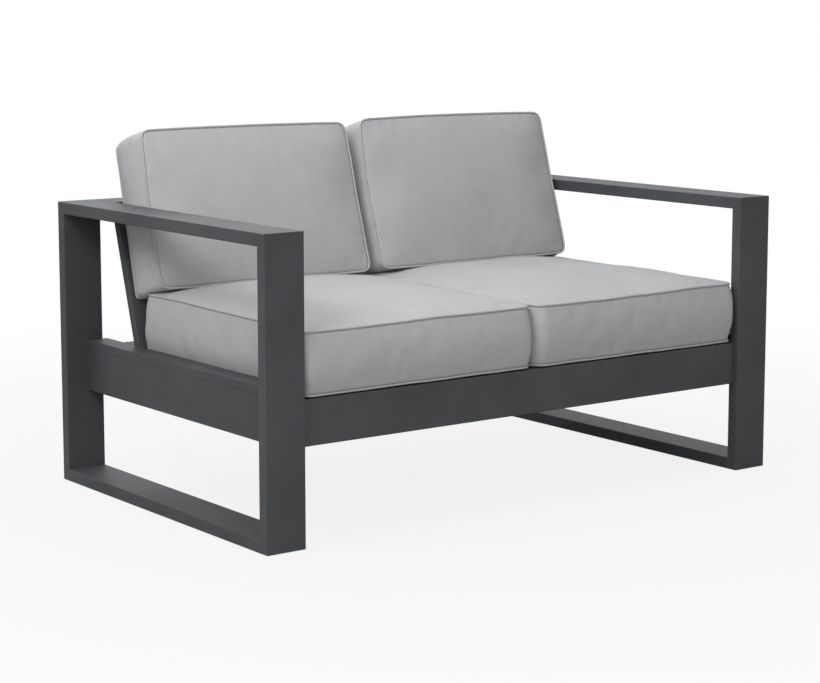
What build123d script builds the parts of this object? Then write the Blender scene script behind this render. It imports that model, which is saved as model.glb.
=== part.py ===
from build123d import *
from math import atan2, cos, degrees, sin, sqrt
import os

# Two-seat patio loveseat in flat aluminium tube, with four loose boxed cushions.
# Millimetres. X runs across the seat, +Y to the rear, +Z up. The origin is on the floor, under the
# middle of the frame.

# Overall sizes
frame_width = 1346.0
frame_depth = 830.0
arm_height = 620.0

# Tube of the side loops and of the top rail
loop_width = 90.0
loop_thickness = 26.0
tube_wall = 2.0
edge_radius = 1.6

# Rails on edge: side rails and aprons
rail_height = 92.0
rail_thickness = 26.0
rail_top = 292.5
rail_inset = 52.0
apron_setback = 10.5
rear_apron_inset = 32.0

# Flat tube of the base, the slats and the posts
flat_width = 50.0
flat_thickness = 20.0
rear_rail_width = 90.0
rear_rail_setback = 99.0
post_head_lead = 13.0
post_count = 7
slat_count = 6
bearer_width = 25.0
bearer_height = 40.0

# Glides
glide_length = 64.0
glide_width = 18.0
glide_proud = 2.0
glide_corner = 6.0
glide_from_end = 48.0
stem_radius = 3.0
stem_length = 9.0
stem_spacing = 40.0

# Brackets
plate_thickness = 3.0
bracket_leg = 40.0
bracket_height = 60.0
bracket_above_rail = 4.5
cleat_leg = 22.0
cleat_drop = 26.0
cleat_side_gap = 6.75
cleat_bolt_edge = 8.4
tie_length = 84.0
tie_width = 44.0
tie_gap = 5.0

# Fastenings
bolt_radius = 3.0
bolt_length = 14.0
head_radius = 5.25
head_height = 3.2
head_round_share = 0.33
socket_radius = 2.0
socket_depth = 1.8
insert_radius = 4.5
insert_length = 12.0
insert_collar_radius = 6.0
insert_collar_length = 3.0
bolt_clearance = 0.3
thread_gap = 0.08
fit_gap = 0.05
bolt_edge = 12.0

# Cushions
soft_gap = 0.4
cover_thickness = 2.0
cushion_corner = 24.0
seam_rise = 3.0
seam_inset = 9.0
crown_inset_shares = (0.11, 0.27, 0.56)
crown_rise_shares = (0.45, 0.80, 1.0)

seat_cushion_thickness = 127.0
seat_crown = 18.0
seat_front_setback = 14.0
seat_rear_gap = 4.0
seat_outer_inset = 5.0
seat_outer_bulge = 9.0
seat_inner_inset = 5.0
seat_inner_bulge = 4.4
seat_front_bulge = 6.0
seat_draw_in = 3.0

back_cushion_height = 349.0
back_cushion_thickness = 112.0
back_crown = 16.0
back_outer_inset = 23.0
back_outer_bulge = 19.0
back_inner_inset = 20.0
back_inner_bulge = 19.0
back_top_bulge = 8.0
back_top_taper = 10.5
back_draw_in = 3.0
back_rest_gap = 0.6

# Zips
zip_length_seat = 470.0
zip_length_back = 430.0
zip_tape_width = 24.0
zip_tape_thickness = 0.8
zip_coil_width = 5.0
zip_coil_height = 1.4
zip_stop_length = 5.0
zip_end_margin = 14.0
slider_length = 12.0
slider_width = 9.0
slider_skin = 1.2
slider_gap = 0.3
pull_length = 17.0
pull_width = 6.0
pull_thickness = 1.4
pull_clearance = 5.0

# Planes and lines that the pieces share
front = -frame_depth / 2
rear = frame_depth / 2
floor_side = glide_proud
side_face = frame_width / 2
inner_face = side_face - loop_width
leg_back = front + loop_thickness
leg_front = rear - loop_thickness
rail_bottom = rail_top - rail_height
rail_outer = side_face - rail_inset
rail_inner = rail_outer - rail_thickness
base_top = rail_top + flat_thickness
base_inner = rail_outer - flat_width
apron_front = front + apron_setback
apron_back = apron_front + rail_thickness
rear_rail_back = rear - rear_rail_setback
rear_rail_front = rear_rail_back - rear_rail_width
rear_apron_front = rear_rail_front + rear_apron_inset
top_rail_front = rear - loop_width
top_rail_bottom = arm_height - loop_thickness
slat_bottom = rail_top - flat_thickness
back_zip_from_rear = pull_length + pull_clearance
overrun = loop_width

# The back leans from the front edge of the rear seat rail to just ahead of the top rail.
post_head_front = top_rail_front - post_head_lead
back_lean = atan2(post_head_front - rear_rail_front, top_rail_bottom - base_top)
lean_up = Vector(0, sin(back_lean), cos(back_lean))
lean_out = Vector(0, -cos(back_lean), sin(back_lean))

standing = (Align.CENTER, Align.CENTER, Align.MIN)
hanging = (Align.CENTER, Align.CENTER, Align.MAX)

pieces = {}
bolts = []
inserts = []
drill = {}


def tube(width, thickness, length):
    """A straight hollow tube along +Z with softened long edges."""
    section = RectangleRounded(width, thickness, edge_radius)
    bore = Rectangle(width - 2 * tube_wall, thickness - 2 * tube_wall)
    return extrude(section - bore, length)


def tube_along_x(depth, height, start, end, y, z):
    """A tube along X, given by its centre line; depth lies along Y and height along Z."""
    return Pos(start, y, z) * Rot(0, 90, 0) * tube(height, depth, end - start)


def tube_along_y(width, height, start, end, x, z):
    """A tube along Y, given by its centre line; width lies along X and height along Z."""
    return Pos(x, start, z) * Rot(-90, 0, 0) * tube(width, height, end - start)


def block(low, high):
    """A box between two opposite corners."""
    size = [high[i] - low[i] for i in range(3)]
    return Pos(*low) * Box(*size, align=(Align.MIN, Align.MIN, Align.MIN))


def sides():
    """The name and the sign of X of the left and of the right side."""
    return (("left", -1), ("right", 1))


def fasten(plane, plate_node, tube_node, plate):
    """Bolt through a plate into an insert in a tube wall; the plane lies on the tube, facing out."""
    head = Pos(0, 0, plate) * Cylinder(head_radius, head_height, align=standing)
    head = fillet(head.faces().sort_by(Axis.Z)[-1].edges(), head_height * head_round_share)
    key = Pos(0, 0, plate + head_height) * Cylinder(socket_radius, socket_depth, align=hanging)
    shank = Pos(0, 0, plate) * Cylinder(bolt_radius, bolt_length, align=hanging)
    bolts.append(plane.location * (head + shank - key))
    sleeve = Cylinder(insert_radius, insert_length, align=hanging)
    collar = Pos(0, 0, -tube_wall) * Cylinder(insert_collar_radius, insert_collar_length, align=hanging)
    thread = Cylinder(bolt_radius + thread_gap, 2 * insert_length)
    inserts.append(plane.location * (sleeve + collar - thread))
    wall_hole = Cylinder(insert_radius + fit_gap, 2 * tube_wall + fit_gap)
    plate_hole = Pos(0, 0, plate / 2) * Cylinder(bolt_radius + bolt_clearance, 2 * plate)
    drill.setdefault(tube_node, []).append(plane.location * wall_hole)
    drill.setdefault(plate_node, []).append(plane.location * plate_hole)


def make_side_loop(name, sign):
    """Front leg, rear leg, armrest and runner, mitred where they meet."""
    x = sign * (side_face - loop_width / 2)
    half = loop_thickness / 2
    mitres = {}
    for end, y, inward in (("front", front, 1), ("rear", rear, -1)):
        for level, z, outward in (("top", arm_height, 1), ("bottom", floor_side, -1)):
            mitres[end, level] = Plane(origin=(x, y, z), x_dir=(1, 0, 0), z_dir=(0, inward, outward))
    for end, y in (("front", front + half), ("rear", rear - half)):
        leg = Pos(x, y, floor_side) * tube(loop_width, loop_thickness, arm_height - floor_side)
        for level in ("top", "bottom"):
            leg = split(leg, bisect_by=mitres[end, level], keep=Keep.BOTTOM)
        pieces[f"{name}_{end}_leg"] = leg
    bars = (("top", arm_height - half, "armrest"), ("bottom", floor_side + half, "floor_runner"))
    for level, z, node in bars:
        bar = tube_along_y(loop_width, loop_thickness, front, rear, x, z)
        for end in ("front", "rear"):
            bar = split(bar, bisect_by=mitres[end, level], keep=Keep.TOP)
        pieces[f"{name}_{node}"] = bar


def make_glides(name, sign):
    """Two thin plug-in glides under a runner, each held by two stems in the runner's wall."""
    x = sign * (side_face - loop_width / 2)
    for end, y in (("front", front + glide_from_end), ("rear", rear - glide_from_end)):
        pad = Pos(x, y, 0) * extrude(RectangleRounded(glide_width, glide_length, glide_corner), glide_proud)
        for step in (-1, 1):
            place = Pos(x, y + step * stem_spacing / 2, glide_proud)
            pad += place * Cylinder(stem_radius, stem_length, align=standing)
            hole = Cylinder(stem_radius + fit_gap, 2 * tube_wall + fit_gap)
            drill.setdefault(f"{name}_floor_runner", []).append(place * hole)
        pieces[f"{name}_{end}_glide"] = pad


def make_rails():
    """Side rails, aprons, bearer and slats of the seat deck."""
    rail_middle = (rail_top + rail_bottom) / 2
    for name, sign in sides():
        x = sign * (rail_outer + rail_inner) / 2
        pieces[f"{name}_side_rail"] = tube_along_y(
            rail_thickness, rail_height, leg_back, leg_front, x, rail_middle
        )
    front_y = (apron_front + apron_back) / 2
    rear_y = rear_apron_front + rail_thickness / 2
    pieces["front_apron"] = tube_along_x(
        rail_thickness, rail_height, -inner_face, inner_face, front_y, rail_middle
    )
    pieces["rear_apron"] = tube_along_x(
        rail_thickness, rail_height, -rail_inner, rail_inner, rear_y, rail_middle
    )
    bearer_middle = slat_bottom - bearer_height / 2
    pieces["centre_bearer"] = tube_along_y(
        bearer_width, bearer_height, apron_back, rear_apron_front, 0, bearer_middle
    )
    for number, y in enumerate(slat_places(), start=1):
        pieces[f"seat_slat_{number}"] = tube_along_x(
            flat_width, flat_thickness, -rail_inner, rail_inner, y, rail_top - flat_thickness / 2
        )


def slat_gap():
    """The open space between two slats."""
    return (rear_rail_front - apron_back - slat_count * flat_width) / (slat_count + 1)


def slat_places():
    """The middles of the slats, evenly spaced from the front apron to the rear seat rail."""
    pitch = slat_gap() + flat_width
    return [apron_back + pitch * (number + 1) - flat_width / 2 for number in range(slat_count)]


def make_back_frame():
    """Base tubes, rear seat rail, leaning posts and top rail."""
    middle = rail_top + flat_thickness / 2
    for name, sign in sides():
        x = sign * (rail_outer + base_inner) / 2
        pieces[f"{name}_base_tube"] = tube_along_y(
            flat_width, flat_thickness, leg_back, leg_front, x, middle
        )
    rear_rail_middle = (rear_rail_front + rear_rail_back) / 2
    pieces["rear_seat_rail"] = tube_along_x(
        rear_rail_width, flat_thickness, -base_inner, base_inner, rear_rail_middle, middle
    )
    top_rail_middle = arm_height - loop_thickness / 2
    pieces["back_top_rail"] = tube_along_x(
        loop_width, loop_thickness, -inner_face, inner_face, rear - loop_width / 2, top_rail_middle
    )
    foot = Plane.XY.offset(base_top)
    head = Plane.XY.offset(top_rail_bottom)
    first = -inner_face + flat_width / 2
    pitch = -2 * first / (post_count - 1)
    for number in range(post_count):
        corner = (first + number * pitch, rear_rail_front, base_top)
        lean = Plane(origin=corner, x_dir=(1, 0, 0), z_dir=lean_up)
        post = tube(flat_width, flat_thickness, top_rail_bottom - base_top + 2 * overrun)
        post = lean.location * Pos(0, flat_thickness / 2, -overrun) * post
        post = split(post, bisect_by=foot, keep=Keep.TOP)
        post = split(post, bisect_by=head, keep=Keep.BOTTOM)
        pieces[f"back_post_{number + 1}"] = post


def make_corner_brackets():
    """Angles in the four corners of the seat frame, bolted to the aprons and the side rails."""
    z = rail_bottom + bracket_above_rail
    for name, sign in sides():
        for end, y, inward in (("front", apron_back, 1), ("rear", rear_apron_front, -1)):
            node = f"{name}_{end}_corner_bracket"
            x = sign * rail_inner
            along_rail = block(
                (min(x, x - sign * plate_thickness), min(y, y + inward * bracket_leg), z),
                (max(x, x - sign * plate_thickness), max(y, y + inward * bracket_leg), z + bracket_height),
            )
            along_apron = block(
                (min(x, x - sign * bracket_leg), min(y, y + inward * plate_thickness), z),
                (max(x, x - sign * bracket_leg), max(y, y + inward * plate_thickness), z + bracket_height),
            )
            pieces[node] = along_rail + along_apron
            out = bracket_leg - bolt_edge
            for level in (z + bolt_edge, z + bracket_height - bolt_edge):
                on_rail = Plane(origin=(x, y + inward * out, level), x_dir=(0, 1, 0), z_dir=(-sign, 0, 0))
                fasten(on_rail, node, f"{name}_side_rail", plate_thickness)
                on_apron = Plane(origin=(x - sign * out, y, level), x_dir=(1, 0, 0), z_dir=(0, inward, 0))
                fasten(on_apron, node, f"{end}_apron", plate_thickness)


def make_cleats():
    """Small angles that hold the base tubes down on the side rails, in two of the gaps between slats."""
    cleats = []
    places = slat_places()
    half_pitch = (slat_gap() + flat_width) / 2
    cleat_length = slat_gap() - 2 * cleat_side_gap
    for name, sign in sides():
        for y in (places[0] + half_pitch, places[-1] - half_pitch):
            x = sign * rail_inner
            reach = x - sign * cleat_leg
            skin = x - sign * plate_thickness
            start = y - cleat_length / 2
            end = y + cleat_length / 2
            foot = rail_top - cleat_drop
            under_tube = block(
                (min(x, reach), start, rail_top - plate_thickness),
                (max(x, reach), end, rail_top),
            )
            on_rail = block((min(x, skin), start, foot), (max(x, skin), end, rail_top))
            cleats.append(under_tube + on_rail)
            spot = (reach + sign * cleat_bolt_edge, y, rail_top)
            up = Plane(origin=spot, x_dir=(1, 0, 0), z_dir=(0, 0, -1))
            fasten(up, "base_tube_cleats", f"{name}_base_tube", plate_thickness)
            across = Plane(origin=(x, y, foot + cleat_bolt_edge), x_dir=(0, 1, 0), z_dir=(-sign, 0, 0))
            fasten(across, "base_tube_cleats", f"{name}_side_rail", plate_thickness)
    pieces["base_tube_cleats"] = cleats


def make_tie_plates():
    """Flat plates under the joint of each armrest and the top rail."""
    y_high = leg_front - tie_gap
    y_low = y_high - tie_width
    for name, sign in sides():
        node = f"{name}_tie_plate"
        joint = sign * inner_face
        ends = (joint - tie_length / 2, joint + tie_length / 2)
        underside = top_rail_bottom - plate_thickness
        pieces[node] = block((ends[0], y_low, underside), (ends[1], y_high, top_rail_bottom))
        for y in (y_low + bolt_edge, y_high - bolt_edge):
            for end, step in ((ends[0], 1), (ends[1], -1)):
                spot = (end + step * bolt_edge, y, top_rail_bottom)
                place = Plane(origin=spot, x_dir=(1, 0, 0), z_dir=(0, 0, -1))
                beyond = sign * (end - joint) > 0
                fasten(place, node, f"{name}_armrest" if beyond else "back_top_rail", plate_thickness)


def outline(left, right, low, high, draw, corner, taper, level):
    """A rounded outline whose left, right, low and high sides pull in by the four values of draw."""
    pull_left, pull_right, pull_low, pull_high = draw
    soft = corner * (1 - 1 / sqrt(2))
    top_left = left + taper
    top_right = right - taper
    middle = (left + right) / 2
    half_way = (low + high) / 2
    low_side = [(left + corner, low), (middle, low + pull_low), (right - corner, low)]
    right_middle = (right - taper / 2 - pull_right, half_way)
    right_side = [(right, low + corner), right_middle, (top_right, high - corner)]
    high_side = [(top_right - corner, high), (middle, high - pull_high), (top_left + corner, high)]
    left_middle = (left + taper / 2 + pull_left, half_way)
    left_side = [(top_left, high - corner), left_middle, (left, low + corner)]
    edges = []
    for start, through, end in (low_side, right_side, high_side, left_side):
        straight = through in ((middle, low), (middle, high))
        edges.append(Line(start, end) if straight else ThreePointArc(start, through, end))
    edges.append(ThreePointArc(low_side[2], (right - soft, low + soft), right_side[0]))
    edges.append(ThreePointArc(right_side[2], (top_right - soft, high - soft), high_side[0]))
    edges.append(ThreePointArc(high_side[2], (top_left + soft, high - soft), left_side[0]))
    edges.append(ThreePointArc(left_side[2], (left + soft, low + soft), low_side[0]))
    return Pos(0, 0, level) * make_face(edges)


def boxed_cushion(box, thickness, bulge, draw, crown, taper, skin):
    """A boxed cushion on its flat face: bulging boxing between two seams, and a crowned top.

    box is left, right, low and high at the seams, bulge and draw give the same four sides, and skin is
    how far the whole form is taken in.
    """
    left, right, low, high = box
    half = min(right - left, high - low) / 2
    corner = cushion_corner

    def ring(inset, level, swell_share):
        swell = [amount * swell_share for amount in bulge]
        pull = [amount * (1 - inset / half) for amount in draw]
        inset += skin
        return outline(
            left + inset - swell[0],
            right - inset + swell[1],
            low + inset - swell[2],
            high - inset + swell[3],
            pull,
            corner,
            taper,
            level,
        )

    bottom = loft([ring(seam_inset, skin, 0), ring(0, seam_rise + skin, 0)])
    top_seam = thickness - skin
    widest = ring(0, (seam_rise + thickness) / 2, 1)
    boxing = loft([ring(0, seam_rise + skin, 0), widest, ring(0, top_seam, 0)])
    rings = [ring(0, top_seam, 0)]
    for inset_share, rise_share in zip(crown_inset_shares, crown_rise_shares):
        rings.append(ring(half * inset_share, top_seam + crown * rise_share, 0))
    return bottom + boxing + loft(rings)


def make_cushion(name, place, form, zip_side, zip_span, zip_level):
    """Cover, foam core and zip of one cushion, in the cushion's own plane."""
    outer = boxed_cushion(**form, skin=0)
    cavity = boxed_cushion(**form, skin=cover_thickness)
    core = boxed_cushion(**form, skin=cover_thickness + soft_gap)
    pieces[f"{name}_cover"] = place.location * (outer - cavity)
    pieces[f"{name}_foam"] = place.location * core
    left, right, low, high = form["box"]
    outward = 1 if zip_side == "high" else -1
    wall = high if zip_side == "high" else low
    toward_middle = 1 if (left + right) / 2 < 0 else -1
    middle = (left + right) / 2
    make_zip(name, place, middle, wall, outward, zip_level, zip_span, toward_middle)


def make_zip(name, place, middle, wall, outward, level, span, toward_middle):
    """A straight zip on a cushion's boxing, and its slider at the outer end."""

    def slab(x_low, x_high, depth_low, depth_high, z_low, z_high):
        near = wall + outward * depth_low
        far = wall + outward * depth_high
        return block((x_low, min(near, far), z_low), (x_high, max(near, far), z_high))

    start = middle - span / 2
    end = middle + span / 2
    tape_half = zip_tape_width / 2
    coil_half = zip_coil_width / 2
    coil_top = zip_tape_thickness + zip_coil_height
    tape = slab(start, end, 0, zip_tape_thickness, level - tape_half, level + tape_half)
    coil_start = start + zip_end_margin
    coil_end = end - zip_end_margin
    tape += slab(coil_start, coil_end, zip_tape_thickness, coil_top, level - coil_half, level + coil_half)
    for low_end in (coil_start - zip_stop_length, coil_end):
        tape += slab(
            low_end,
            low_end + zip_stop_length,
            zip_tape_thickness,
            coil_top + slider_skin,
            level - coil_half,
            level + coil_half,
        )
    pieces[f"{name}_zip_tape"] = place.location * tape
    rest = coil_start if toward_middle > 0 else coil_end - slider_length
    rest += toward_middle * slider_gap
    body_low = zip_tape_thickness + slider_gap
    body_high = coil_top + slider_gap + slider_skin
    slider_half = slider_width / 2
    body = slab(rest, rest + slider_length, body_low, body_high, level - slider_half, level + slider_half)
    channel = coil_half + slider_gap
    body -= slab(
        rest - overrun,
        rest + slider_length + overrun,
        0,
        coil_top + slider_gap,
        level - channel,
        level + channel,
    )
    pull_middle = rest + slider_length / 2
    pull_half = pull_width / 2
    body += slab(
        pull_middle - pull_half,
        pull_middle + pull_half,
        body_high,
        body_high + pull_thickness,
        level - pull_length,
        level + pull_half,
    )
    pieces[f"{name}_zip_slider"] = place.location * body


def make_cushions():
    """Two seat cushions between the base tubes and two back cushions against the posts."""
    seat_high = rear_rail_front - seat_rear_gap
    seat_low = front + seat_front_setback
    seat_outer = base_inner - seat_outer_inset
    back_plane = Plane(origin=(0, rear_rail_front, base_top), x_dir=(1, 0, 0), z_dir=lean_out)
    seat_edge = Vector(0, seat_high - rear_rail_front, rail_top + seat_cushion_thickness - base_top)
    back_low = seat_edge.dot(lean_up) + back_rest_gap
    back_high = back_low + back_cushion_height
    back_outer = inner_face - back_outer_inset
    for name, sign in sides():
        spans = sorted((sign * seat_inner_inset, sign * seat_outer))
        bulge = [seat_outer_bulge, seat_inner_bulge] if sign < 0 else [seat_inner_bulge, seat_outer_bulge]
        seat_form = {
            "box": (*spans, seat_low, seat_high),
            "thickness": seat_cushion_thickness - soft_gap,
            "bulge": (*bulge, seat_front_bulge, 0),
            "draw": (seat_draw_in, seat_draw_in, seat_draw_in, 0),
            "crown": seat_crown,
            "taper": 0,
        }
        deck = Plane.XY.offset(rail_top + soft_gap)
        seat_level = (seam_rise + seat_cushion_thickness) / 2
        make_cushion(f"{name}_seat", deck, seat_form, "high", zip_length_seat, seat_level)
        spans = sorted((sign * back_inner_inset, sign * back_outer))
        bulge = [back_outer_bulge, back_inner_bulge] if sign < 0 else [back_inner_bulge, back_outer_bulge]
        back_form = {
            "box": (*spans, back_low, back_high),
            "thickness": back_cushion_thickness,
            "bulge": (*bulge, 0, back_top_bulge),
            "draw": (back_draw_in, back_draw_in, 0, back_draw_in),
            "crown": back_crown,
            "taper": back_top_taper,
        }
        against_posts = back_plane.offset(soft_gap)
        make_cushion(f"{name}_back", against_posts, back_form, "low", zip_length_back, back_zip_from_rear)


def solids_of(piece):
    """The solids of one node, as one shape to write."""
    if isinstance(piece, list):
        return Compound(children=[solid for part in piece for solid in part.solids()])
    return Compound(children=piece.solids())


for side_name, side_sign in sides():
    make_side_loop(side_name, side_sign)
    make_glides(side_name, side_sign)
make_rails()
make_back_frame()
make_corner_brackets()
make_cleats()
make_tie_plates()
make_cushions()
pieces["frame_bolts"] = bolts
pieces["threaded_inserts"] = inserts

for node_name, cutters in drill.items():
    target = pieces[node_name]
    if isinstance(target, list):
        pieces[node_name] = [part - cutters for part in target]
    else:
        pieces[node_name] = target - cutters

os.makedirs("parts", exist_ok=True)
for node_name, piece in pieces.items():
    export_step(solids_of(piece), f"parts/{node_name}.step")
print(f"{len(pieces)} nodes, back lean {degrees(back_lean):.2f} degrees")
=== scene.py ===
import math

import bmesh
import bpy
from mathutils import Matrix, Vector, noise
from mathutils.bvhtree import BVHTree


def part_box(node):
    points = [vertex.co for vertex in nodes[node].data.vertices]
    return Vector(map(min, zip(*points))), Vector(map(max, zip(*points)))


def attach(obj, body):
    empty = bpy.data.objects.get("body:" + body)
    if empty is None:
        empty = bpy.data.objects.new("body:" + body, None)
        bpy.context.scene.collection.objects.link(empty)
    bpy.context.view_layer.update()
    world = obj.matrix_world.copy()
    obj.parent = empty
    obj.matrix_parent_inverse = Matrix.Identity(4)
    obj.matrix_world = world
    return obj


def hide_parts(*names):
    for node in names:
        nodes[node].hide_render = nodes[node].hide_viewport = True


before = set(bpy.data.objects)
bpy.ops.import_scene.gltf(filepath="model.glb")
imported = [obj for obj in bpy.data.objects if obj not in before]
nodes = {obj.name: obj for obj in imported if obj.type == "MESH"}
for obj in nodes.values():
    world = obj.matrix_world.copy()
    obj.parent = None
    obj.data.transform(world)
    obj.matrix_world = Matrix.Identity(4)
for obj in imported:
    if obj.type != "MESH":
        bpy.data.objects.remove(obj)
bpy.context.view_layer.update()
scene = bpy.context.scene

# Patio loveseat: a powder-coated aluminium frame and four boxed, piped cushions.
# Metres, +Z up, +Y to the rear, origin on the floor under the middle of the frame.


def mm(size):
    """A size in millimetres, as metres."""
    return size / 1000


# Camera, as it stood for the photograph
camera_eye = Vector((-2.7922, -3.7179, 1.0417))
camera_turn = math.radians(36.67)
camera_tilt = math.radians(7.73)
camera_lens = 92.53
camera_shift = -0.06

# Places read from the frame
base_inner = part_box("right_base_tube")[0].x
base_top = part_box("right_base_tube")[1].z
rail_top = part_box("right_side_rail")[1].z
frame_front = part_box("right_front_leg")[0].y
leg_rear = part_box("right_front_leg")[1].y
seat_back_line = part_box("rear_seat_rail")[0].y
arm_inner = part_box("right_armrest")[0].x
top_rail_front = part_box("back_top_rail")[0].y
top_rail_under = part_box("back_top_rail")[0].z

# The back leans from the rear seat rail's front edge to just ahead of the top rail.
post_head_lead = mm(13)
back_lean = math.atan2(top_rail_front - post_head_lead - seat_back_line, top_rail_under - base_top)
lean_up = Vector((0, math.sin(back_lean), math.cos(back_lean)))
lean_out = Vector((0, -math.cos(back_lean), math.sin(back_lean)))

# Cushions
hair = mm(0.05)
soft_gap = mm(0.4)
cell = mm(8)
foot_rise = mm(5)
foot_inset = mm(13)
crown_power = 6.5
press_from, press_length = -0.2, 0.7
wander_detail = 2.2
top_seam_seed = 5.3
welt_radius = mm(2.3)
welt_stand = mm(1.2)
seam_pinch = mm(2.1)
seam_wander = mm(2.5)
foam_inset = mm(3.6)
seam_inset = mm(5)
held_share = 0.8
settle_frames = 20
smoothing_rounds = 4

# How the covers keep clear of what is round them
tube_clearance = mm(0.3)
middle_clearance = mm(0.4)
zip_press_reach = mm(14)
look_above = mm(60)
deepest_lift = mm(25)

seat_inner = mm(5)
seat_outer = base_inner - mm(1)
seat_front = frame_front + mm(14)
seat_rear = seat_back_line - mm(4)
seat_thickness = mm(129.1)
seat_rise = {-1: ((1, 1, 2.5), (9, 6, 8), (9, 9, 8)), 1: ((2.5, 2, 7), (6, 6, 7), (8, 9, 7))}
back_outer = arm_inner - mm(7)
back_height = mm(345)
back_margin = mm(0.8)
back_thickness = mm(112)
back_zip_low, back_zip_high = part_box("right_back_zip_tape")
back_zip_middle = (back_zip_low + back_zip_high) / 2 - Vector((0, seat_back_line, base_top))

# Zips
zip_length = {"seat": mm(470), "back": mm(430)}
tape_width = mm(24)
tape_thickness = mm(0.8)
coil_width = mm(5)
coil_height = mm(1.4)
coil_pitch = mm(2.4)
zip_end = mm(14)
stop_length = mm(5)
slider_length = mm(12)
slider_width = mm(9)
slider_skin = mm(1.2)
slider_gap = mm(0.3)
pull_length = mm(17)
pull_width = mm(6)
pull_thickness = mm(1.4)
coil_root, coil_tip = mm(0.62), mm(0.5)
coil_lift = mm(0.66)
coil_reach, coil_offset = coil_width * 0.62, coil_width * 0.19
coil_skew = 0.2
tape_split = mm(0.3)
bridge_length, bridge_width, bridge_sink = mm(8), mm(2.2), mm(0.4)
zip_stack = tape_thickness + coil_height + slider_gap + slider_skin + pull_thickness + mm(0.6)
back_zip_from_rear = pull_length + mm(5)
back_foot = back_zip_middle.dot(lean_up) + tape_thickness / 2


def linear(code):
    """An sRGB hex colour as linear RGBA."""
    channels = []
    for start in (1, 3, 5):
        value = int(code[start : start + 2], 16) / 255
        channels.append(value / 12.92 if value <= 0.04045 else ((value + 0.055) / 1.055) ** 2.4)
    return (*channels, 1.0)


def make_camera():
    """The photograph's viewpoint."""
    view = bpy.data.cameras.new("photo_view")
    view.lens = camera_lens
    view.sensor_width = 36
    view.shift_y = camera_shift
    holder = bpy.data.objects.new("photo_view", view)
    holder.location = camera_eye
    holder.rotation_euler = (math.pi / 2 - camera_tilt, 0, -camera_turn)
    scene.collection.objects.link(holder)
    scene.camera = holder


make_camera()


# Materials


def add(tree, kind, links=None, **settings):
    """Add one node: settings are its own values, links gives each input a value or a socket."""
    made = tree.nodes.new(kind)
    for name, value in settings.items():
        setattr(made, name, value)
    for name, value in (links or {}).items():
        if isinstance(value, bpy.types.NodeSocket):
            tree.links.new(value, made.inputs[name])
        else:
            made.inputs[name].default_value = value
    return made


def new_material(name, viewport):
    """A material with an empty node tree; viewport is its plain colour."""
    material = bpy.data.materials.new(name)
    material.use_nodes = True
    material.node_tree.nodes.clear()
    material.diffuse_color = linear(viewport)
    return material


def surface(material, shader):
    """Send a shader to the material's surface."""
    add(material.node_tree, "ShaderNodeOutputMaterial", {"Surface": shader.outputs[0]})
    return material


def ramp(tree, factor, stops):
    """A colour ramp through (position, sRGB hex) stops."""
    made = add(tree, "ShaderNodeValToRGB", {"Fac": factor})
    elements = made.color_ramp.elements
    while len(elements) < len(stops):
        elements.new(0.5)
    for element, (position, colour) in zip(elements, stops):
        element.position = position
        element.color = linear(colour)
    return made.outputs["Color"]


def cloud(tree, place, size, detail=2.0, roughness=0.5):
    """Noise whose blobs are about size across."""
    values = {"Vector": place, "Scale": 1 / size, "Detail": detail, "Roughness": roughness}
    return add(tree, "ShaderNodeTexNoise", values).outputs["Fac"]


def powder_coat(name, colour, lighter, darker):
    """Polyester powder coat, baked: satin charcoal, its highlights broken by a fine orange peel."""
    material = new_material(name, colour)
    tree = material.node_tree
    place = add(tree, "ShaderNodeTexCoord").outputs["Object"]
    peel = cloud(tree, place, mm(1.8))
    grain = cloud(tree, place, mm(0.5), 1.0)
    drift = cloud(tree, place, mm(160), 3.0)
    tint = ramp(tree, drift, [(0.36, darker), (0.5, colour), (0.66, lighter)])
    gloss = add(tree, "ShaderNodeMapRange", {"Value": peel, "To Min": 0.48, "To Max": 0.6})
    fine = add(tree, "ShaderNodeBump", {"Height": grain, "Distance": mm(0.02), "Strength": 0.4})
    skin = add(
        tree,
        "ShaderNodeBump",
        {"Height": peel, "Distance": mm(0.06), "Strength": 0.5, "Normal": fine.outputs["Normal"]},
    )
    shader = add(
        tree,
        "ShaderNodeBsdfPrincipled",
        {
            "Base Color": tint,
            "Roughness": gloss.outputs["Result"],
            "IOR": 1.5,
            "Specular IOR Level": 0.4,
            "Normal": skin.outputs["Normal"],
        },
    )
    return surface(material, shader)


def brushed_metal(name, colour, lighter, roughness):
    """Stainless or zinc-plated fasteners: bare metal with fine turning marks."""
    material = new_material(name, colour)
    tree = material.node_tree
    place = add(tree, "ShaderNodeTexCoord").outputs["Object"]
    lathe = add(tree, "ShaderNodeMapping", {"Vector": place, "Scale": (1, 1, 6)})
    marks = cloud(tree, lathe.outputs["Vector"], mm(0.9), 2.0)
    tint = ramp(tree, marks, [(0.35, colour), (0.65, lighter)])
    spread = {"Value": marks, "To Min": roughness, "To Max": roughness + 0.14}
    gloss = add(tree, "ShaderNodeMapRange", spread)
    bump = add(tree, "ShaderNodeBump", {"Height": marks, "Distance": mm(0.03), "Strength": 0.4})
    shader = add(
        tree,
        "ShaderNodeBsdfPrincipled",
        {
            "Base Color": tint,
            "Metallic": 1.0,
            "Roughness": gloss.outputs["Result"],
            "Normal": bump.outputs["Normal"],
        },
    )
    return surface(material, shader)


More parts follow.
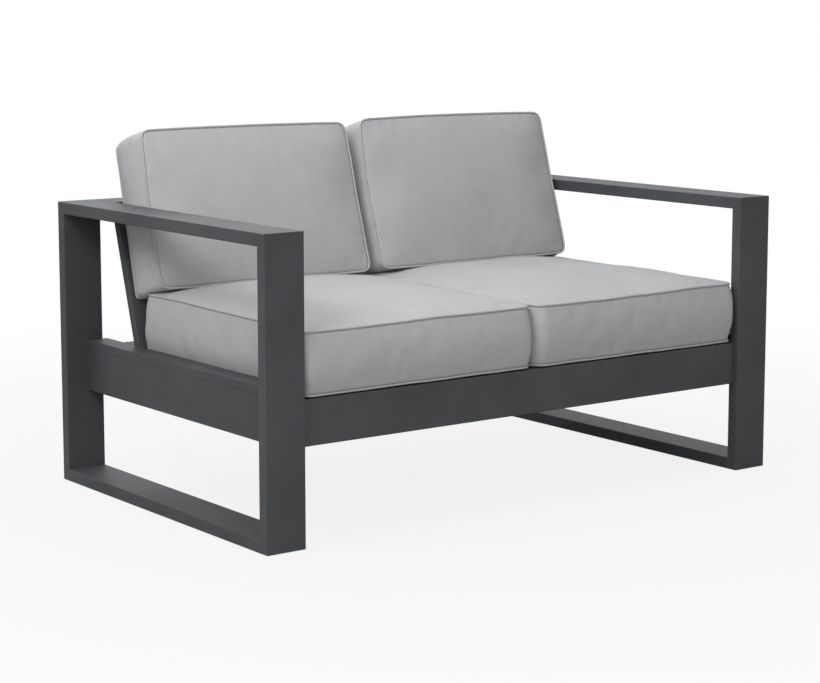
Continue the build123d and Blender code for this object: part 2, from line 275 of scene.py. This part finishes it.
def moulded_nylon(name, colour, lighter):
    """Injection-moulded nylon: dark, waxy, with a fine spark-eroded grain."""
    material = new_material(name, colour)
    tree = material.node_tree
    place = add(tree, "ShaderNodeTexCoord").outputs["Object"]
    grain = cloud(tree, place, mm(0.7), 3.0)
    tint = ramp(tree, grain, [(0.4, colour), (0.65, lighter)])
    bump = add(tree, "ShaderNodeBump", {"Height": grain, "Distance": mm(0.05), "Strength": 0.5})
    shader = add(
        tree,
        "ShaderNodeBsdfPrincipled",
        {"Base Color": tint, "Roughness": 0.48, "IOR": 1.53, "Normal": bump.outputs["Normal"]},
    )
    return surface(material, shader)


def polyurethane_foam(name):
    """Cut open-cell foam: cream and matt, its small pores painted darker as shade."""
    material = new_material(name, "#E6DFC8")
    tree = material.node_tree
    place = add(tree, "ShaderNodeTexCoord").outputs["Object"]
    pores = add(tree, "ShaderNodeTexVoronoi", {"Vector": place, "Scale": 1 / mm(1.6)})
    # painted shade: the cream turns darker towards the middle of each pore, where the bump sinks in
    tint = ramp(tree, pores.outputs["Distance"], [(0.1, "#BFB599"), (0.5, "#E6DFC8")])
    bump = add(
        tree,
        "ShaderNodeBump",
        {"Height": pores.outputs["Distance"], "Distance": mm(0.5), "Strength": 0.6},
    )
    shader = add(
        tree,
        "ShaderNodeBsdfPrincipled",
        {"Base Color": tint, "Roughness": 0.95, "Normal": bump.outputs["Normal"]},
    )
    return surface(material, shader)


def woven_cloth(name, colours, thread, slub, relief, on_surface=True):
    """Plain-woven, solution-dyed acrylic: matt, with slubs, soft mottling and small pale flecks.

    colours are darker, middle, lighter and fleck; thread is the spacing at which threads are drawn.
    """
    darker, colour, lighter, fleck = colours
    material = new_material(name, colour)
    tree = material.node_tree
    if on_surface:
        place = add(tree, "ShaderNodeUVMap", uv_map="Cloth").outputs["UV"]
    else:
        place = add(tree, "ShaderNodeTexCoord").outputs["Object"]

    def threads(direction):
        values = {"Vector": place, "Scale": math.pi / 10 / thread, "Distortion": 0.5, "Detail": 1.0}
        return add(tree, "ShaderNodeTexWave", values, bands_direction=direction).outputs["Fac"]

    def streaks(length, width):
        scale = (1 / length, 1 / width, 1 / width)
        stretched = add(tree, "ShaderNodeMapping", {"Vector": place, "Scale": scale})
        values = {"Vector": stretched.outputs["Vector"], "Scale": 1.0, "Detail": 2.0}
        return add(tree, "ShaderNodeTexNoise", values).outputs["Fac"]

    def blend(low, high, share):
        values = {0: share, 2: low, 3: high}
        return add(tree, "ShaderNodeMix", values, data_type="FLOAT").outputs[0]

    crossing = {0: threads("X"), 1: threads("Y")}
    weave = add(tree, "ShaderNodeMath", crossing, operation="MULTIPLY").outputs[0]
    slubs = blend(streaks(slub * 14, slub), streaks(slub, slub * 14), 0.5)
    patches = blend(cloud(tree, place, mm(34), 4.0, 0.6), cloud(tree, place, mm(110), 2.0), 0.45)
    tone = blend(slubs, patches, 0.4)
    ground = ramp(tree, tone, [(0.36, darker), (0.5, colour), (0.64, lighter)])
    specks = add(
        tree,
        "ShaderNodeMapRange",
        {"Value": streaks(mm(6), mm(2.2)), "From Min": 0.69, "From Max": 0.75},
    )
    flecked = add(
        tree,
        "ShaderNodeMix",
        {0: specks.outputs["Result"], 6: ground, 7: linear(fleck)},
        data_type="RGBA",
    )
    # painted shade and highlight: the weave darkens the colour in the hollows between threads and
    # lightens it on their crowns
    shade = add(tree, "ShaderNodeMapRange", {"Value": weave, "To Min": 0.95, "To Max": 1.04})
    tint = add(
        tree,
        "ShaderNodeVectorMath",
        {0: flecked.outputs[2], 1: shade.outputs["Result"]},
        operation="MULTIPLY",
    )
    bump = add(
        tree,
        "ShaderNodeBump",
        {"Height": blend(weave, slubs, 0.4), "Distance": relief, "Strength": 0.6},
    )
    shader = add(
        tree,
        "ShaderNodeBsdfPrincipled",
        {
            "Base Color": tint.outputs[0],
            "Roughness": 0.9,
            "Specular IOR Level": 0.2,
            "Sheen Weight": 0.10,
            "Sheen Roughness": 0.5,
            "Normal": bump.outputs["Normal"],
        },
    )
    return surface(material, shader)


melange = ("#B0B2B5", "#B7B8BA", "#BDBEBF", "#DADADA")
zip_greys = ("#96989B", "#A0A2A4", "#A9ABAD", "#B4B6B8")
frame_coat = powder_coat("powder_coated_aluminium", "#44474A", "#494B4E", "#404245")
bracket_coat = powder_coat("powder_coated_steel", "#3F4143", "#444648", "#3A3C3E")
stainless = brushed_metal("stainless_steel", "#B4B5B6", "#C9CACB", 0.24)
zinc_plate = brushed_metal("zinc_plated_steel", "#A9ACB0", "#C3C6C9", 0.34)
glide_nylon = moulded_nylon("moulded_nylon", "#1B1C1D", "#2A2B2C")
zip_nylon = moulded_nylon("nylon_coil", "#8E9092", "#A3A5A7")
die_cast = powder_coat("painted_zinc_casting", "#77797B", "#808284", "#6F7173")
cushion_foam = polyurethane_foam("polyurethane_foam")
# Real threads lie about 0.7 mm apart. At 1.2 mm a close view can still show them.
cushion_cloth = woven_cloth("woven_acrylic_panels", melange, mm(1.2), mm(1.5), mm(0.22))
welt_cloth = woven_cloth("woven_acrylic_piping", melange, mm(1.2), mm(1.5), mm(0.18), False)
zip_tape = woven_cloth("woven_zip_tape", zip_greys, mm(0.9), mm(1.2), mm(0.15), False)


# Pieces


def new_piece(name, block, material, smooth=True):
    """A piece from a bmesh, linked to the scene."""
    mesh = bpy.data.meshes.new(name)
    block.to_mesh(mesh)
    block.free()
    mesh.materials.append(material)
    mesh.polygons.foreach_set("use_smooth", [smooth] * len(mesh.polygons))
    piece = bpy.data.objects.new(name, mesh)
    scene.collection.objects.link(piece)
    return piece


def evaluated_mesh(piece):
    """The piece's mesh with its modifiers applied."""
    graph = bpy.context.evaluated_depsgraph_get()
    return bpy.data.meshes.new_from_object(piece.evaluated_get(graph))


def subdivide(piece):
    """Apply one level of subdivision."""
    modifier = piece.modifiers.new("Subdivision", "SUBSURF")
    modifier.levels = modifier.render_levels = 1
    smooth = evaluated_mesh(piece)
    piece.modifiers.clear()
    coarse = piece.data
    name = coarse.name
    piece.data = smooth
    bpy.data.meshes.remove(coarse)
    smooth.name = name


def finish_frame():
    """Give each carried-over CAD node its finish."""
    for name, node in nodes.items():
        if "cover" in name or "foam" in name or "zip" in name:
            continue
        finish = frame_coat
        if any(word in name for word in ("bracket", "plate", "cleats")):
            finish = bracket_coat
        elif "bolts" in name:
            finish = stainless
        elif "inserts" in name:
            finish = zinc_plate
        elif "glide" in name:
            finish = glide_nylon
        node.data.materials.clear()
        node.data.materials.append(finish)


finish_frame()


# Cushions are shaped in their own block: x to the right, y up the back or to the rear, z from the
# panel that rests to the crowned one. Each vertex keeps its place there in the attribute "flat".


def grid_block(size):
    """A block of small squares, with a UV map in metres that runs round the boxing."""
    block = bmesh.new()
    bmesh.ops.create_cube(block, size=1)
    for axis in range(3):
        runs = [(edge, edge.verts[0].co - edge.verts[1].co) for edge in block.edges]
        along = [edge for edge, run in runs if abs(run[axis]) > 0.5]
        bmesh.ops.subdivide_edges(block, edges=along, cuts=round(size[axis] / cell) - 1)
    bmesh.ops.scale(block, vec=size, verts=block.verts)
    bmesh.ops.translate(block, vec=size / 2, verts=block.verts)
    block.normal_update()
    cloth = block.loops.layers.uv.new("Cloth")
    flat = block.verts.layers.float_vector.new("flat")
    for vert in block.verts:
        vert[flat] = vert.co
    for face in block.faces:
        for loop in face.loops:
            x, y, z = loop.vert.co
            if abs(face.normal.z) > 0.5:
                loop[cloth].uv = (x, y)
            elif abs(face.normal.y) > 0.5:
                loop[cloth].uv = (x, z + size.y + cell)
            else:
                loop[cloth].uv = (y + size.x + cell, z)
    return block


def rim_reach(place, size):
    """How far a place in the block is from the nearest side."""
    return min(place[0], size.x - place[0], place[1], size.y - place[1])


def on_resting_side(place, size, form):
    """Whether a place is on the flat boxing that carries the zip."""
    return place[1] > size.y - hair if form["rests_on"] == "high" else place[1] < hair


def grid_height(share_x, share_y, rows):
    """A smooth height over the cushion from three rows of three, front row first."""

    def weights(share):
        return (share * (share - 1) / 2, 1 - share**2, share * (share + 1) / 2)

    total = 0.0
    for along, row in zip(weights(share_y), rows):
        total += along * sum(across * height for across, height in zip(weights(share_x), row))
    return mm(total)


def round_corner(across, along, half_width, half_depth, radius):
    """Move a place near a corner so that the block's corner becomes an arc."""
    u = (abs(across) - half_width) / radius + 1
    v = (abs(along) - half_depth) / radius + 1
    if u <= 0 or v <= 0:
        return across, along
    turned_u = u * math.sqrt(1 - v * v / 2)
    turned_v = v * math.sqrt(1 - u * u / 2)
    across = math.copysign(half_width + (turned_u - 1) * radius, across)
    along = math.copysign(half_depth + (turned_v - 1) * radius, along)
    return across, along


def wander(share_x, share_y, seed):
    """How far a sewn edge strays from straight, round the cushion."""
    spot = Vector((share_x, share_y, 0)) * wander_detail
    return seam_wander * noise.noise(spot + Vector((seed, seed, seed)))


def belly(level, peak, fullness):
    """How much of its swell the boxing has at a share of its height: none at the seams, all at
    the peak."""
    reach = peak if level < peak else 1 - peak
    return 1 - abs((level - peak) / reach) ** fullness


def shape_cushion(block, size, form):
    """Turn the block into a boxed cushion: rounded corners, swollen boxing and a crowned top."""
    half_width, half_depth = size.x / 2, size.y / 2
    for vert in block.verts:
        x, y, z = vert.co
        across, along = x - half_width, y - half_depth
        level = z / size.z
        low_radius, high_radius = form["corners"][along > 0][across > 0]
        radius = mm(low_radius + (high_radius - low_radius) * level)
        across, along = round_corner(across, along, half_width, half_depth, radius)
        share_x, share_y = across / half_width, along / half_depth
        seam_seed = top_seam_seed if level > 0.5 else 0
        drift = wander(share_x, share_y, form["seed"] + seam_seed)
        rise = grid_height(share_x, share_y, form["rise"])
        side = form["right"] if across > 0 else form["left"]
        end = form["high"] if along > 0 else form["low"]
        foot = form["foot"] * (1 - level) ** 3
        free = max(0.0, level - side["shelf"]) / (1 - side["shelf"])
        out_x = side["bulge"] * belly(free, form["peak"], side["fullness"]) if free else 0.0
        out_x += side["flare"] * free - side["taper"] * (share_y + 1) / 2
        out_x -= side["draw"] * (1 - share_y**2) * level + foot
        out_y = end["bulge"] * belly(level, form["peak"], end["fullness"])
        out_y -= end["draw"] * (1 - share_x**2) * level + foot
        out_y += end["flare"] * level
        lift_x = 1 - (1 - min(x, size.x - x) / half_width) ** crown_power
        lift_y = 1 - (1 - min(y, size.y - y) / half_depth) ** crown_power
        if z > size.z - hair:
            pressed = form["pressed"] * max(0.0, min(1.0, (share_y - press_from) / press_length))
            crown = form["crown"] * (1 - pressed)
            height = size.z + crown * lift_x * lift_y + rise + drift
        elif z < hair:
            curl = max(0.0, 1 - rim_reach(vert.co, size) / foot_inset)
            height = (foot_rise + abs(drift)) * curl**2
        else:
            height = foot_rise + (size.z - foot_rise) * level + (rise + drift) * level
        vert.co.x += across - (x - half_width) + out_x * share_x
        vert.co.y += along - (y - half_depth) + out_y * share_y
        vert.co.z = height


def blow_up(cover, size, form):
    """Fill the cover as cloth under pressure, with its seams and the sides that rest held."""
    before = [vert.co.copy() for vert in cover.data.vertices]
    held = cover.vertex_groups.new(name="held")
    for vert, spot in zip(cover.data.vertices, cover.data.attributes["flat"].data):
        z = spot.vector.z
        at_rim = rim_reach(spot.vector, size) < hair
        rests = on_resting_side(spot.vector, size, form)
        if z < hair or (at_rim and z > size.z - hair) or (rests and z < size.z * held_share):
            held.add([vert.index], 1.0, "REPLACE")
    cloth = cover.modifiers.new("Cloth", "CLOTH")
    values = {
        "quality": 4,
        "mass": 0.3,
        "tension_stiffness": 20,
        "compression_stiffness": 20,
        "shear_stiffness": 6,
        "bending_stiffness": 1.5,
        "use_pressure": True,
        "uniform_pressure_force": form["pressure"],
        "shrink_min": -form["ease"],
        "vertex_group_mass": "held",
    }
    for setting, value in values.items():
        setattr(cloth.settings, setting, value)
    cloth.settings.effector_weights.gravity = 0
    cloth.collision_settings.use_collision = False
    cloth.point_cache.frame_start = 1
    cloth.point_cache.frame_end = settle_frames
    for number in range(1, settle_frames + 1):
        scene.frame_set(number)
    settled = evaluated_mesh(cover)
    after = [vert.co.copy() for vert in settled.vertices]
    bpy.data.meshes.remove(settled)
    cover.modifiers.clear()
    cover.vertex_groups.clear()
    scene.frame_set(1)
    for vert, start, end in zip(cover.data.vertices, before, after):
        step = end - start
        if step.length > form["cap"]:
            step *= form["cap"] / step.length
        vert.co = start + step
    even_out(cover, size)


def even_out(cover, size):
    """Take the mesh-sized ripples of the simulation out of the free cloth, off the seams."""
    block = bmesh.new()
    block.from_mesh(cover.data)
    flat = block.verts.layers.float_vector["flat"]
    free = []
    for vert in block.verts:
        z = vert[flat].z
        on_top_seam = rim_reach(vert[flat], size) < hair and z > size.z - hair
        if z > hair and not on_top_seam:
            free.append(vert)
    every_axis = {f"use_axis_{axis}": True for axis in "xyz"}
    for _ in range(smoothing_rounds):
        bmesh.ops.smooth_vert(block, verts=free, factor=0.5, **every_axis)
    block.to_mesh(cover.data)
    block.free()


def keep_between(cover, sign):
    """Flatten a seat cover where it would pass its neighbour, the base tube, the front leg or the
    zip under the back cushion."""
    for vert in cover.data.vertices:
        limit = math.inf
        if vert.co.y < leg_rear:
            limit = arm_inner - back_margin
        elif vert.co.z < base_top:
            limit = base_inner - tube_clearance
        vert.co.x = sign * max(middle_clearance, min(limit, sign * vert.co.x))
        under = vert.co - Vector((0, seat_back_line, base_top))
        room = (back_foot - zip_stack - under.dot(lean_up)) / lean_up.z
        if abs(under.dot(lean_out) - back_zip_from_rear) < zip_press_reach and room < 0:
            vert.co.z += room


def rest_on(cover, supports):
    """Lift the cover where it would sink into the pieces that carry it, and keep it off the arm."""
    graph = bpy.context.evaluated_depsgraph_get()
    trees = [BVHTree.FromObject(support, graph) for support in supports]
    above, down = Vector((0, 0, look_above)), Vector((0, 0, -1))
    side_limit = arm_inner - back_margin
    for vert in cover.data.vertices:
        for tree in trees:
            hit = tree.ray_cast(vert.co + above, down, look_above)[0]
            if hit and -back_margin < hit.z - vert.co.z < deepest_lift:
                vert.co.z = hit.z + back_margin
        vert.co.x = max(-side_limit, min(side_limit, vert.co.x))


def sew(cover, size, form):
    """Pinch the cloth in at its seams, with the puckers and slow swells of a stuffed cover."""
    pucker_depth, pucker_spacing = mm(1.2), mm(19)
    pucker_start, pucker_fade = mm(5), mm(24)
    swell_spacing, swell_start = mm(130), mm(60)
    pinch_reach, zip_edge = mm(4.5), mm(10)
    moves = []
    for spot in cover.data.attributes["flat"].data:
        x, y, z = spot.vector
        rim = rim_reach(spot.vector, size)
        on_boxing = rim < hair
        under_zip = on_resting_side(spot.vector, size, form) and zip_edge < z < size.z - zip_edge
        if under_zip or (z < hair and not on_boxing):
            moves.append(0.0)
            continue
        seam = min(z, size.z - z) if on_boxing else rim
        near_x = min(y, size.y - y) < min(x, size.x - x)
        along = x if near_x else y
        strip = 7.1 if on_boxing else 0.3
        ripple = noise.noise(Vector((along / pucker_spacing, form["seed"], strip + 3.3 * near_x)))
        slow = noise.noise(Vector((x, y, z)) / swell_spacing + Vector((form["seed"], 3.7, 1.9)))
        fade = math.exp(-seam / pucker_fade) * min(1.0, seam / pucker_start)
        move = pucker_depth * fade * ripple + form["swell"] * min(1.0, seam / swell_start) * slow
        moves.append(move - seam_pinch * max(0.0, 1 - seam / pinch_reach))
    normals = [vert.normal.copy() for vert in cover.data.vertices]
    for vert, normal, move in zip(cover.data.vertices, normals, moves):
        vert.co += normal * move


def seam_line(cover, size, level):
    """A seam's points in order round the cushion, each just proud of the cloth."""
    found = []
    for vert, spot in zip(cover.data.vertices, cover.data.attributes["flat"].data):
        x, y, z = spot.vector
        if rim_reach(spot.vector, size) < hair and abs(z - level) < hair:
            turn = math.atan2(y - size.y / 2, x - size.x / 2)
            found.append((turn, vert.co + vert.normal * welt_stand))
    return [point for turn, point in sorted(found, key=lambda item: item[0])]


def make_welt(name, points):
    """Piping: a round cord covered in the same cloth, along a seam."""
    curve = bpy.data.curves.new(name, "CURVE")
    curve.dimensions = "3D"
    curve.bevel_depth = welt_radius
    curve.bevel_resolution = 2
    line = curve.splines.new("POLY")
    line.points.add(len(points) - 1)
    for point, place in zip(line.points, points):
        point.co = (*place, 1)
    line.use_cyclic_u = True
    drawn = bpy.data.objects.new(name, curve)
    scene.collection.objects.link(drawn)
    mesh = evaluated_mesh(drawn)
    bpy.data.objects.remove(drawn)
    bpy.data.curves.remove(curve)
    mesh.name = name
    mesh.materials.clear()
    mesh.materials.append(welt_cloth)
    mesh.polygons.foreach_set("use_smooth", [True] * len(mesh.polygons))
    welt = bpy.data.objects.new(name, mesh)
    scene.collection.objects.link(welt)
    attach(welt, "root")


def make_core(name, cover, place, size):
    """The foam inside: the cover's form taken in all round."""
    mesh = cover.data.copy()
    mesh.name = f"{name}_core"
    mesh.materials.clear()
    mesh.materials.append(cushion_foam)
    turn = place.to_3x3()
    for vert, spot in zip(mesh.vertices, mesh.attributes["flat"].data):
        ends = zip(spot.vector, size)
        outward = Vector([(at > full - hair) - (at < hair) for at, full in ends])
        at_seam = outward.length > 1
        vert.co -= turn @ outward * (seam_inset if at_seam else foam_inset)
    core = bpy.data.objects.new(f"{name}_core", mesh)
    scene.collection.objects.link(core)
    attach(core, "root")
    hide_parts(f"{name}_foam")


def make_cushion(name, place, size, form, supports=()):
    """Cover, piping and foam of one cushion; place takes its block into the frame."""
    block = grid_block(size)
    shape_cushion(block, size, form)
    bmesh.ops.transform(block, matrix=place, verts=block.verts)
    cover = new_piece(f"{name}_cushion", block, cushion_cloth)
    blow_up(cover, size, form)
    if supports:
        rest_on(cover, supports)
    else:
        keep_between(cover, math.copysign(1, place.translation.x + size.x / 2))
    make_core(name, cover, place, size)
    subdivide(cover)
    seams = {"top": seam_line(cover, size, size.z), "bottom": seam_line(cover, size, 0)}
    sew(cover, size, form)
    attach(cover, "root")
    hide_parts(f"{name}_cover")
    for edge, points in seams.items():
        make_welt(f"{name}_{edge}_welt", points)


def slab(block, low, high, soften=0.0):
    """Add a box between two corners, with its edges softened."""
    made = bmesh.ops.create_cube(block, size=1)["verts"]
    low, high = Vector(low), Vector(high)
    bmesh.ops.scale(block, vec=high - low, verts=made)
    bmesh.ops.translate(block, vec=(low + high) / 2, verts=made)
    if soften:
        edges = {edge for vert in made for edge in vert.link_edges}
        bmesh.ops.bevel(
            block,
            geom=list(edges),
            offset=soften,
            segments=2,
            profile=0.5,
            affect="EDGES",
            material=-1,
        )


def make_zip(name, place, length, toward_middle):
    """A coil zip along x, flat on the xy plane with +z off the cloth, and its slider at one end."""
    half = length / 2
    coil_end = half - zip_end
    coil_top = tape_thickness + coil_height
    tape = bmesh.new()
    for near, far in ((-tape_width / 2, -tape_split), (tape_split, tape_width / 2)):
        slab(tape, (-half, near, 0), (half, far, tape_thickness), mm(0.25))
    bmesh.ops.transform(tape, matrix=place, verts=tape.verts)
    tape_piece = new_piece(f"{name}_zip_band", tape, zip_tape)
    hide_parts(f"{name}_zip_tape")

    coil = bmesh.new()
    for number in range(round(2 * coil_end / coil_pitch)):
        along = -coil_end + (number + 0.5) * coil_pitch
        for way in (-1, 1):
            loop = bmesh.ops.create_cone(
                coil,
                cap_ends=True,
                segments=6,
                radius1=coil_root,
                radius2=coil_tip,
                depth=coil_reach,
            )["verts"]
            lay = Matrix.Rotation(way * math.pi / 2, 4, "X")
            skew = Matrix.Rotation(way * coil_skew, 4, "Z")
            x = along + way * coil_pitch / 4
            shift = Matrix.Translation((x, way * coil_offset, tape_thickness + coil_lift))
            bmesh.ops.transform(coil, matrix=shift @ skew @ lay, verts=loop)
    for low in (-coil_end - stop_length, coil_end):
        corner = (low + stop_length, coil_width / 2, coil_top + slider_skin)
        slab(coil, (low, -coil_width / 2, tape_thickness), corner, mm(0.5))
    bmesh.ops.transform(coil, matrix=place, verts=coil.verts)
    coil_piece = new_piece(f"{name}_zip_coil", coil, zip_nylon, False)
    for piece in (tape_piece, coil_piece):
        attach(piece, "root")

    slider = bmesh.new()
    rest = -coil_end + slider_gap if toward_middle > 0 else coil_end - slider_gap - slider_length
    top = coil_top + slider_gap
    roof = top + slider_skin
    wing = slider_width / 2
    channel = coil_width / 2 + slider_gap
    foot = tape_thickness + slider_gap
    end = rest + slider_length
    slab(slider, (rest, -wing, top), (end, wing, roof), mm(0.5))
    slab(slider, (rest, -wing, foot), (end, -channel, roof), mm(0.4))
    slab(slider, (rest, channel, foot), (end, wing, roof), mm(0.4))
    middle = rest + slider_length / 2
    reach = pull_width / 2
    pull_top = roof + pull_thickness
    slab(slider, (middle - reach, -pull_length, roof), (middle + reach, reach, pull_top), mm(0.6))
    near = (middle - bridge_length / 2, -bridge_width / 2, roof - bridge_sink)
    far = (middle + bridge_length / 2, bridge_width / 2, pull_top)
    slab(slider, near, far, mm(0.4))
    bmesh.ops.transform(slider, matrix=place, verts=slider.verts)
    slider_piece = new_piece(f"{name}_zip_runner", slider, die_cast, False)
    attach(slider_piece, f"{name}_zip")
    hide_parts(f"{name}_zip_slider")


# A cushion's form: corners holds each corner's radius in millimetres at its bottom and top seam,
# rise the lift of its top seam and panel, both front row first; pressed is the share of the crown
# that the back cushion takes away, ease the cloth's surplus and cap the furthest it may blow out.


def side(bulge, draw, flare=0.0, taper=0.0, shelf=0.0, fullness=2.4):
    """A side in millimetres: its swell at the peak, how far its top seam pulls in midway, leans out
    and narrows from one end to the other, the share of its height that a tube holds straight, and
    how square the swell is."""
    sizes = {"bulge": mm(bulge), "draw": mm(draw), "flare": mm(flare), "taper": mm(taper)}
    return {**sizes, "shelf": shelf, "fullness": fullness}


def mirrored(rows, sign):
    """The left cushion's rows as they are, or turned round for the right one."""
    return rows if sign < 0 else [row[::-1] for row in rows]


def axes(origin, x_axis, y_axis, z_axis):
    """The matrix that takes a block's own axes into the frame."""
    turn = Matrix((x_axis, y_axis, z_axis)).transposed().to_4x4()
    return Matrix.Translation(origin) @ turn


def make_seat(name, sign, seed):
    """One seat cushion on the slats, between a base tube and its neighbour."""
    left, right = sorted((sign * seat_inner, sign * seat_outer))
    size = Vector((right - left, seat_rear - seat_front, seat_thickness))
    tube_share = (base_top + mm(1) - rail_top - soft_gap) / seat_thickness
    outer, inner = side(7, 1, 5.5, shelf=tube_share, fullness=5), side(4, 1)
    form = {
        "left": outer if sign < 0 else inner,
        "right": inner if sign < 0 else outer,
        "low": side(11, 2),
        "high": side(0, 0),
        "rise": seat_rise[sign],
        "seed": seed,
        "corners": mirrored([[(9, 18), (26, 32)], [(3, 42), (10, 24)]], sign),
        "peak": 0.45,
        "foot": mm(0),
        "crown": mm(9),
        "pressed": 0.7,
        "pressure": 2,
        "ease": 0.006,
        "cap": mm(22),
        "swell": mm(1.6),
        "fill": 0.9,
        "rests_on": "high",
    }
    place = Matrix.Translation((left, seat_front, rail_top + soft_gap))
    make_cushion(name, place, size, form)
    zip_low, zip_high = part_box(f"{name}_zip_tape")
    middle = Vector(((zip_low.x + zip_high.x) / 2, seat_rear, (zip_low.z + zip_high.z) / 2))
    zip_place = axes(middle, (-1, 0, 0), (0, 0, 1), (0, 1, 0))
    make_zip(name, zip_place, zip_length["seat"], sign)


def make_back(name, sign, seed, supports):
    """One back cushion, leaning on the posts and standing on its seat cushion."""
    if sign < 0:
        left, right = -back_outer, -mm(23.5)
        sides = {"left": side(10, -5, -9, 10.5), "right": side(14, 2, 0, 1.5)}
        ends = {"low": side(0, -3, -4), "high": side(4, -2.5, 6)}
    else:
        left, right = mm(11), back_outer
        sides = {"left": side(12, -8, 0, 7), "right": side(10, 2, -15, 2)}
        ends = {"low": side(0, -3, -5.4), "high": side(4, -4, 11.4)}
    size = Vector((right - left, back_height, back_thickness))
    form = {
        **sides,
        **ends,
        "rise": ((0, 0, 0), (0, 0, 0), (0, 0, 0)),
        "seed": seed,
        "corners": [[(7, 22), (7, 22)]] * 2,
        "peak": 0.33,
        "foot": mm(4),
        "crown": mm(12),
        "pressed": 0.0,
        "pressure": 3,
        "ease": 0.005,
        "cap": mm(22),
        "swell": mm(2),
        "fill": 0.8,
        "rests_on": "low",
    }
    plane = Vector((0, seat_back_line, base_top)) + lean_out * soft_gap
    corner = plane + lean_up * back_foot + Vector((left, 0, 0))
    place = axes(corner, (1, 0, 0), lean_up, lean_out)
    make_cushion(name, place, size, form, supports)
    middle = plane + lean_up * back_foot + lean_out * back_zip_from_rear
    middle.x = sign * back_zip_middle.x
    zip_place = axes(middle, (1, 0, 0), lean_out, -lean_up)
    make_zip(name, zip_place, zip_length["back"], -sign)


for side_name, side_sign, seeds in (("left", -1, (2.3, 4.1)), ("right", 1, (8.9, 6.7))):
    seat_name = f"{side_name}_seat"
    make_seat(seat_name, side_sign, seeds[0])
    carried_by = [bpy.data.objects[f"{seat_name}_{part}"] for part in ("cushion", "top_welt")]
    make_back(f"{side_name}_back", side_sign, seeds[1], carried_by)


# Studio


sky_light = 0.42
shadow_radius, fade_radius = 0.6, 2.6
shadow_glow = 0.86
aim_point = (0, 0, 0.4)
softboxes = (
    ("overhead_softbox", (-0.6, 0.1, 3.2), 2.4, 21),
    ("rear_softbox", (0.2, 1.6, 2.6), 2.0, 23),
    ("left_softbox", (-2.6, -0.8, 2.8), 1.6, 50),
    ("front_softbox", (-1.8, -3.0, 1.7), 1.4, 22),
)


def make_floor():
    """A pale floor: white to the camera, with the object's soft shadow near its middle."""
    block = bmesh.new()
    bmesh.ops.create_grid(block, x_segments=2, y_segments=2, size=40)
    material = new_material("studio_floor", "#F4F4F4")
    tree = material.node_tree
    place = add(tree, "ShaderNodeTexCoord").outputs["Object"]
    reach = add(tree, "ShaderNodeVectorMath", {0: place}, operation="LENGTH")
    fade = add(
        tree,
        "ShaderNodeMapRange",
        {
            "Value": reach.outputs["Value"],
            "From Min": shadow_radius,
            "From Max": fade_radius,
            "To Min": shadow_glow,
            "To Max": 1.0,
        },
    )
    rays = add(tree, "ShaderNodeLightPath")
    seen = add(
        tree,
        "ShaderNodeMath",
        {0: rays.outputs["Is Camera Ray"], 1: fade.outputs["Result"]},
        operation="MULTIPLY",
    )
    matt = add(tree, "ShaderNodeBsdfDiffuse", {"Color": linear("#B4B4B4")})
    glow = add(tree, "ShaderNodeEmission", {"Color": linear("#FFFFFF"), "Strength": 1.0})
    layers = {0: seen.outputs[0], 1: matt.outputs[0], 2: glow.outputs[0]}
    mixed = add(tree, "ShaderNodeMixShader", layers)
    floor = new_piece("studio_floor", block, surface(material, mixed))


def make_world():
    """A plain grey sky for the light, white to the camera and in reflections."""
    world = bpy.data.worlds.new("studio")
    scene.world = world
    world.use_nodes = True
    tree = world.node_tree
    tree.nodes.clear()
    rays = add(tree, "ShaderNodeLightPath").outputs
    shown = rays["Is Camera Ray"]
    for kind in ("Is Glossy Ray", "Is Transmission Ray"):
        either = add(tree, "ShaderNodeMath", {0: shown, 1: rays[kind]}, operation="MAXIMUM")
        shown = either.outputs[0]
    strength = add(tree, "ShaderNodeMapRange", {"Value": shown, "To Min": sky_light, "To Max": 1.0})
    sky = add(
        tree,
        "ShaderNodeBackground",
        {"Color": linear("#FFFFFF"), "Strength": strength.outputs["Result"]},
    )
    add(tree, "ShaderNodeOutputWorld", {"Surface": sky.outputs[0]})


def make_lamp(name, place, size, power):
    """A square soft lamp that faces the seat."""
    lamp = bpy.data.lights.new(name, "AREA")
    lamp.shape = "SQUARE"
    lamp.size = size
    lamp.energy = power
    holder = bpy.data.objects.new(name, lamp)
    aim = (Vector(aim_point) - Vector(place)).to_track_quat("-Z", "Y").to_matrix().to_4x4()
    holder.matrix_world = Matrix.Translation(place) @ aim
    scene.collection.objects.link(holder)


make_floor()
make_world()
for softbox in softboxes:
    make_lamp(*softbox)
scene.view_settings.view_transform = "Standard"
